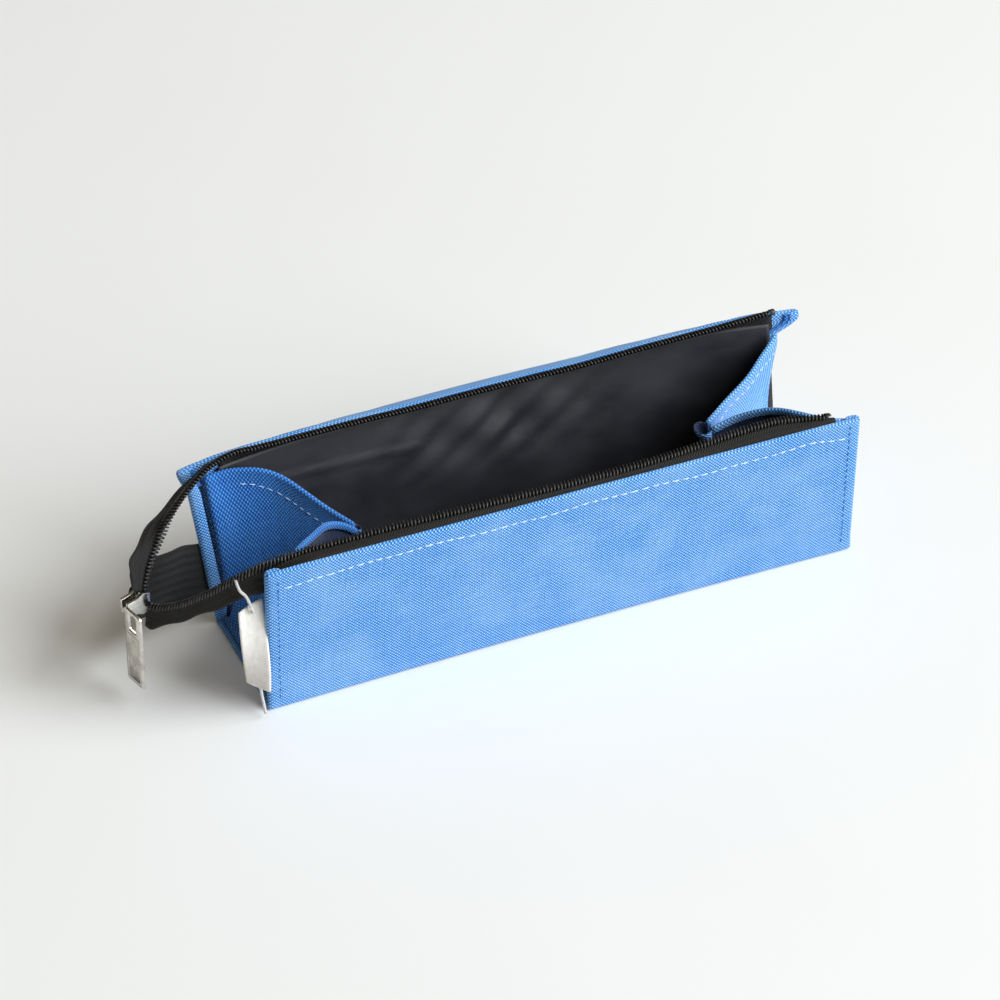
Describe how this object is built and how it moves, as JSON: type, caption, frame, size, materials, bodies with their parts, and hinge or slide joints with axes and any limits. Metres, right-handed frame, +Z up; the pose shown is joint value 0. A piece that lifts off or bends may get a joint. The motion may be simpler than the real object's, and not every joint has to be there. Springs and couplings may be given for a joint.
{
  "type": "pencil case",
  "caption": "Open-topped canvas box case with fold-in ends, a zip along both top edges and a hanging slider pull.",
  "frame": {"origin": "centre of the underside of the base", "axes": "+X along the length away from the slider, +Y from the front wall to the back wall, +Z up out of the mouth"},
  "size_m": [0.248, 0.0595, 0.0611],
  "materials": {
    "canvas": "plain woven polyester canvas, matt",
    "board": "grey-white felted stiffener",
    "lining": "smooth black nylon, slight sheen",
    "zip_tape": "black herringbone tape",
    "zip_coil": "black nylon coil",
    "nickel": "bright nickel plate",
    "paper": "white coated paper, blank",
    "clear_plastic": "milky moulded plastic"
  },
  "bodies": {
    "base": {"base_cover": "canvas", "base_board": "board", "base_lining": "lining", "front_tape_run": "zip_tape", "back_tape_run": "zip_tape", "zip_tail": "zip_tape"},
    "front_wall": {"front_cover": "canvas", "front_board": "board", "front_lining": "lining", "front_zip_tape": "zip_tape", "front_zip_coil": "zip_coil", "front_top_stop": "nickel"},
    "back_wall": {"back_cover": "canvas", "back_board": "board", "back_lining": "lining", "back_zip_tape": "zip_tape", "back_zip_coil": "zip_coil", "back_top_stop": "nickel"},
    "left_front_fold": {"left_gusset_front": "canvas"},
    "left_back_fold": {"left_gusset_back": "canvas"},
    "left_base_fold": {"left_gusset_base": "canvas"},
    "right_front_fold": {"right_gusset_front": "canvas"},
    "right_back_fold": {"right_gusset_back": "canvas"},
    "right_base_fold": {"right_gusset_base": "canvas"},
    "slider": {"slider_top_plate": "nickel", "slider_wedge": "nickel", "slider_back_plate": "nickel", "slider_bridge": "nickel"},
    "pull": {"pull_tab": "nickel"},
    "tag": {"swing_tag": "paper", "tag_loop": "clear_plastic"}
  },
  "joints": [
    {"name": "front_wall_swing", "type": "hinge", "parent": "base", "child": "front_wall", "pos_m": [0, -0.0228, 0.0015], "axis": [1, 0, 0], "range_deg": [-20, 10], "deforming": ["front_tape_run", "back_tape_run", "zip_tail"]},
    {"name": "back_wall_swing", "type": "hinge", "parent": "base", "child": "back_wall", "pos_m": [0, 0.0228, 0.0015], "axis": [1, 0, 0], "range_deg": [-10, 20]},
    {"name": "left_front_fold_turn", "type": "hinge", "parent": "front_wall", "child": "left_front_fold", "pos_m": [-0.098, -0.02034, 0.00559], "axis": [0, -0.0349, 0.9994], "range_deg": [-20, 10]},
    {"name": "left_back_fold_turn", "type": "hinge", "parent": "back_wall", "child": "left_back_fold", "pos_m": [-0.098, 0.02086, 0.00586], "axis": [-0.0767, 0.156, 0.9848], "range_deg": [-9.3, 18.5]},
    {"name": "left_base_fold_turn", "type": "hinge", "parent": "base", "child": "left_base_fold", "pos_m": [-0.098, 0, 0.0044], "axis": [0, 1, 0], "range_deg": [-5.3, 10.5]},
    {"name": "right_front_fold_turn", "type": "hinge", "parent": "front_wall", "child": "right_front_fold", "pos_m": [0.098, -0.02034, 0.00559], "axis": [0, -0.0349, 0.9994], "range_deg": [-10, 20]},
    {"name": "right_back_fold_turn", "type": "hinge", "parent": "back_wall", "child": "right_back_fold", "pos_m": [0.098, 0.02086, 0.00586], "axis": [0.0767, 0.156, 0.9848], "range_deg": [-18.5, 9.3]},
    {"name": "right_base_fold_turn", "type": "hinge", "parent": "base", "child": "right_base_fold", "pos_m": [0.098, 0, 0.0044], "axis": [0, 1, 0], "range_deg": [-10.5, 5.3]},
    {"name": "slider_travel", "type": "slide", "parent": "base", "child": "slider", "axis": [0.9659, 0.2588, 0], "range_m": [0, 0.006]},
    {"name": "pull_tab_swing", "type": "hinge", "parent": "slider", "child": "pull", "pos_m": [-0.13462, -0.00243, 0.0343], "axis": [0.9659, 0.2588, 0], "range_deg": [-100, 0]},
    {"name": "tag_swing", "type": "hinge", "parent": "front_wall", "child": "tag", "pos_m": [-0.1086, -0.0214, 0.05], "axis": [1, 0, 0], "range_deg": [-50, 8]}
  ],
  "couplings": [
    {"joint": "back_wall_swing", "follows": "front_wall_swing", "ratio": -1},
    {"joint": "left_front_fold_turn", "follows": "front_wall_swing", "ratio": 1},
    {"joint": "left_back_fold_turn", "follows": "front_wall_swing", "ratio": -0.924},
    {"joint": "left_base_fold_turn", "follows": "front_wall_swing", "ratio": -0.521},
    {"joint": "right_front_fold_turn", "follows": "front_wall_swing", "ratio": -1},
    {"joint": "right_back_fold_turn", "follows": "front_wall_swing", "ratio": 0.924},
    {"joint": "right_base_fold_turn", "follows": "front_wall_swing", "ratio": 0.521}
  ]
}
